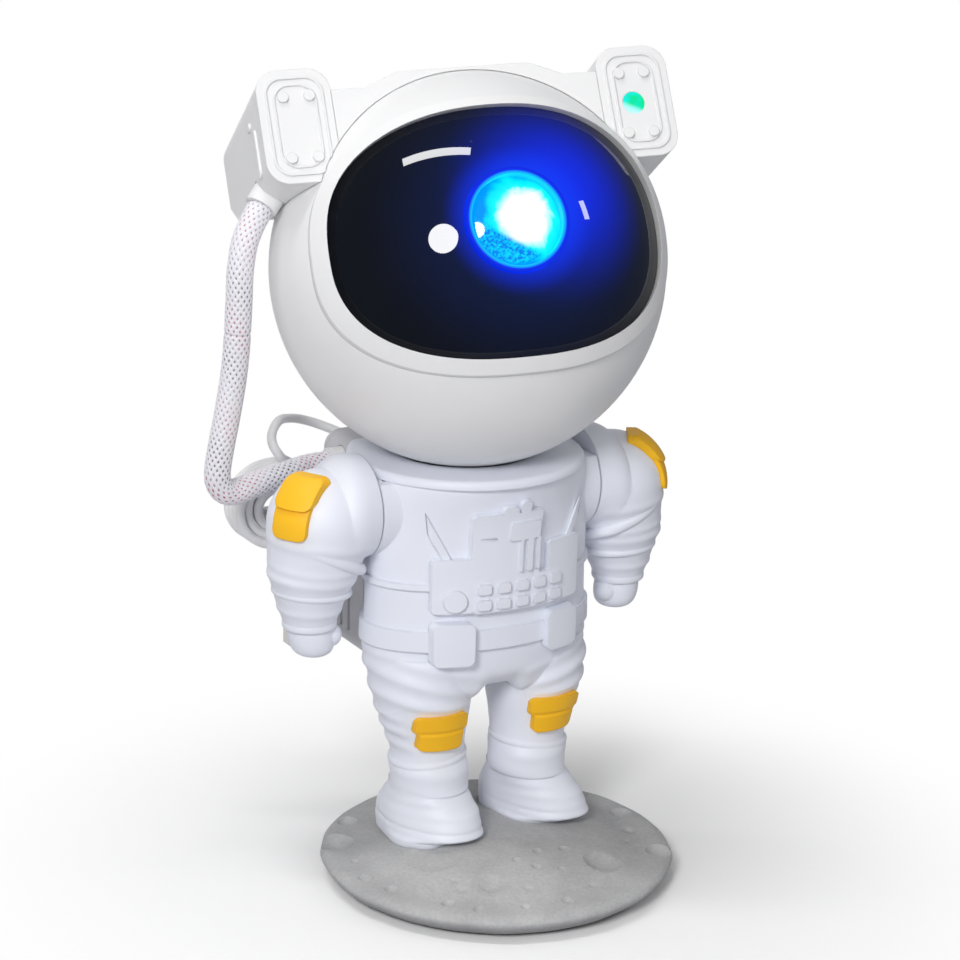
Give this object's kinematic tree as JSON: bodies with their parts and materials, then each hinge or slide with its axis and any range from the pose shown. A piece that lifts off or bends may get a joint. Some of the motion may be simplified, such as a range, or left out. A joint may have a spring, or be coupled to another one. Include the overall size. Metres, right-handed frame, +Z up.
{
  "type": "planetarium projector",
  "caption": "Table-top star and nebula projector shaped as a space-suited figure on a moon base, with a ball head that turns and tips, swinging arms and a powered cord.",
  "frame": {"origin": "centre of the round base's underside, on the table", "axes": "+Z up, -Y the way the figure's body faces, +X to the figure's left"},
  "size_m": [0.1349, 0.1305, 0.2233],
  "materials": {
    "white_plastic": "satin moulded ABS",
    "base_grey": "fine matt texture",
    "steel": "zinc plated",
    "foam_pad": "closed-cell foam",
    "ballast_iron": "raw",
    "magnet_nickel": "nickel plated",
    "yellow_plastic": "satin",
    "circuit_board": "solder mask",
    "black_plastic": "fine texture",
    "button_grey": "satin",
    "braid": "open plaited monofilament",
    "cord_white": "soft satin sheath",
    "tie_white": "paper covered wire",
    "nickel_shell": "nickel plated",
    "black_visor": "mirror gloss",
    "brass_barrel": "turned",
    "window_glass": "polished",
    "lens_glass": "polished",
    "sink_aluminium": "extruded"
  },
  "bodies": {
    "base": {"moon_base": "base_grey", "base_cover": "base_grey", "base_screws": "steel", "base_pad": "foam_pad", "base_ballast": "ballast_iron"},
    "neck_turn": {"neck_magnet": "magnet_nickel"},
    "arm_right": {"arm_right": "white_plastic", "patch_right": "yellow_plastic"},
    "arm_left": {"arm_left": "white_plastic", "patch_left": "yellow_plastic"},
    "power_button": {"power_button": "button_grey"},
    "nebula_button": {"nebula_button": "button_grey"},
    "star_button": {"star_button": "button_grey"},
    "brightness_button": {"brightness_button": "button_grey"},
    "ripple_disc": {"ripple_disc": "lens_glass", "motor_shaft": "steel"},
    "head": {"head_front_shell": "white_plastic", "head_rear_shell": "white_plastic", "head_screws": "steel", "head_steel_strap": "steel", "visor": "black_visor", "visor_bezel": "white_plastic", "ear_right_housing": "white_plastic", "ear_left_housing": "white_plastic", "ear_right_plate": "white_plastic", "ear_left_plate": "white_plastic", "head_crest": "white_plastic", "laser_module": "brass_barrel", "laser_window": "window_glass", "lens_barrel": "black_plastic", "projection_lens": "lens_glass", "optics_chassis": "black_plastic", "optics_screws": "steel", "led_board": "circuit_board", "collimator": "lens_glass", "heat_sink": "sink_aluminium", "motor": "steel", "sleeve_gland_upper": "white_plastic", "braided_sleeve_upper": "braid"},
    "figure": {"backpack_cover": "white_plastic", "backpack_screws": "steel", "backpack_shell": "white_plastic", "body_front_shell": "white_plastic", "body_rear_shell": "white_plastic", "body_screws": "steel", "braided_sleeve_lower": "braid", "button_switches": "black_plastic", "control_board": "circuit_board", "cord_tie": "tie_white", "knee_pad_left": "yellow_plastic", "knee_pad_right": "yellow_plastic", "magnet_retainer": "white_plastic", "neck_cup": "white_plastic", "sleeve_gland_lower": "white_plastic", "usb_coil": "cord_white", "usb_gland": "cord_white", "usb_lead": "cord_white", "usb_plug": "cord_white", "usb_plug_shell": "nickel_shell", "usb_tail": "cord_white"}
  },
  "joints": [
    {"name": "figure_lift", "type": "slide", "parent": "base", "child": "figure", "axis": [0, 0, 1], "range_m": [0, 0.03]},
    {"name": "head_turn", "type": "hinge", "parent": "figure", "child": "neck_turn", "pos_m": [0, 0.023, 0.107], "axis": [0, 0, 1], "range_deg": [-30, 55], "deforming": ["braided_sleeve_upper", "braided_sleeve_lower"]},
    {"name": "head_pitch", "type": "hinge", "parent": "neck_turn", "child": "head", "pos_m": [0, 0.023, 0.165], "axis": [0.9703, -0.2419, 0], "range_deg": [-15, 28], "deforming": ["braided_sleeve_upper", "braided_sleeve_lower"]},
    {"name": "arm_right_swing", "type": "hinge", "parent": "figure", "child": "arm_right", "pos_m": [-0.0455, 0.019, 0.1044], "axis": [-1, 0, 0], "range_deg": [0, 110]},
    {"name": "arm_left_swing", "type": "hinge", "parent": "figure", "child": "arm_left", "pos_m": [0.0455, 0.019, 0.1044], "axis": [-1, 0, 0], "range_deg": [-20, 110]},
    {"name": "ripple_spin", "type": "hinge", "parent": "head", "child": "ripple_disc", "pos_m": [-0.00455, 0.00787, 0.19174], "axis": [-0.214, -0.8705, 0.4431], "continuous": true},
    {"name": "power_button_press", "type": "slide", "parent": "figure", "child": "power_button", "axis": [0, -1, 0], "range_m": [0, 0.0006], "stiffness_N_per_m": 400, "springref_m": -0.0005},
    {"name": "nebula_button_press", "type": "slide", "parent": "figure", "child": "nebula_button", "axis": [0, -1, 0], "range_m": [0, 0.0006], "stiffness_N_per_m": 400, "springref_m": -0.0005},
    {"name": "star_button_press", "type": "slide", "parent": "figure", "child": "star_button", "axis": [0, -1, 0], "range_m": [0, 0.0006], "stiffness_N_per_m": 400, "springref_m": -0.0005},
    {"name": "brightness_button_press", "type": "slide", "parent": "figure", "child": "brightness_button", "axis": [0, -1, 0], "range_m": [0, 0.0006], "stiffness_N_per_m": 400, "springref_m": -0.0005}
  ]
}
